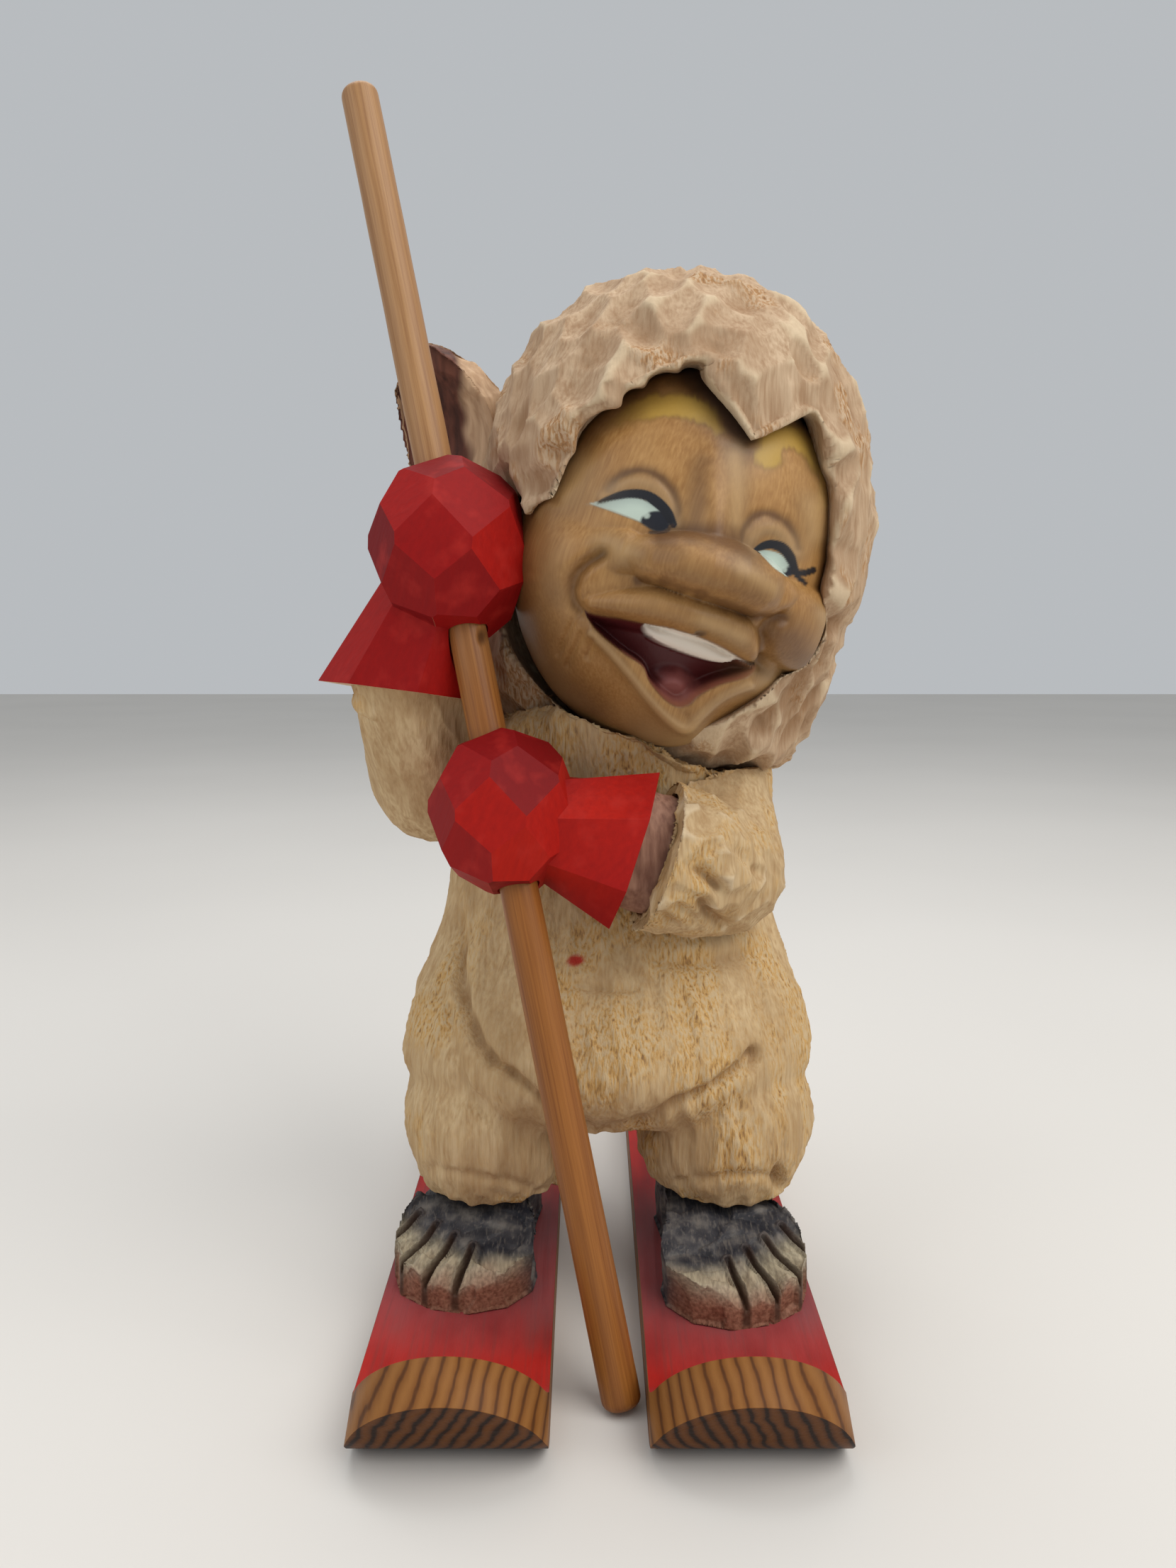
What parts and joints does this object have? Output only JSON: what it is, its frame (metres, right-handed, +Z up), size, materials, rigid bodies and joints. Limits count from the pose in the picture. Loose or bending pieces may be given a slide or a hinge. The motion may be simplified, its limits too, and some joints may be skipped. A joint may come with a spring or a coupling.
{
  "type": "carved troll figure",
  "caption": "Carved wooden laughing troll child in a shaggy hooded suit and red mittens, barefoot on short skis, leaning on a long pole held in both hands.",
  "frame": {"origin": "on the floor, under the middle of the figure's box", "axes": "+Z up, the troll and the ski tips look along -Y, +X is the troll's left side"},
  "size_m": [0.1494, 0.197, 0.3287],
  "materials": {
    "suit_wood": "bare knife-cut wood, matt",
    "hood_wood": "bare gouge-cut wood, matt",
    "face_wood": "smooth varnished wood, satin, painted eyes and mouth",
    "ear_wood": "bare wood with a dark stained inside",
    "mitten_red": "red paint on knife facets, satin",
    "wrist_brown": "thin mauve brown stain",
    "pole_wood": "waxed dowel, satin",
    "foot_wood": "grey stained insteps with pale toes",
    "ski_red": "red paint on top, bare ringed pine elsewhere",
    "dowel_wood": "plain beech, glued in",
    "screw_steel": "plain steel, countersunk"
  },
  "bodies": {
    "figure": {"torso": "suit_wood", "right_sleeve": "suit_wood", "left_sleeve": "suit_wood", "hood": "hood_wood", "face": "face_wood", "right_ear": "ear_wood", "right_mitten": "mitten_red", "left_mitten": "mitten_red", "right_wrist": "wrist_brown", "left_wrist": "wrist_brown", "right_foot": "foot_wood", "left_foot": "foot_wood", "right_ski": "ski_red", "left_ski": "ski_red", "neck_dowel": "dowel_wood", "right_shoulder_dowel": "dowel_wood", "left_shoulder_dowel": "dowel_wood", "right_ankle_dowel": "dowel_wood", "left_ankle_dowel": "dowel_wood", "ear_dowel": "dowel_wood", "right_ski_screws": "screw_steel", "left_ski_screws": "screw_steel"},
    "pole": {"pole": "pole_wood"}
  },
  "joints": [
    {"name": "pole_slide", "type": "slide", "parent": "figure", "child": "pole", "axis": [-0.202, 0.2078, 0.9571], "range_m": [0, 0.25]}
  ]
}
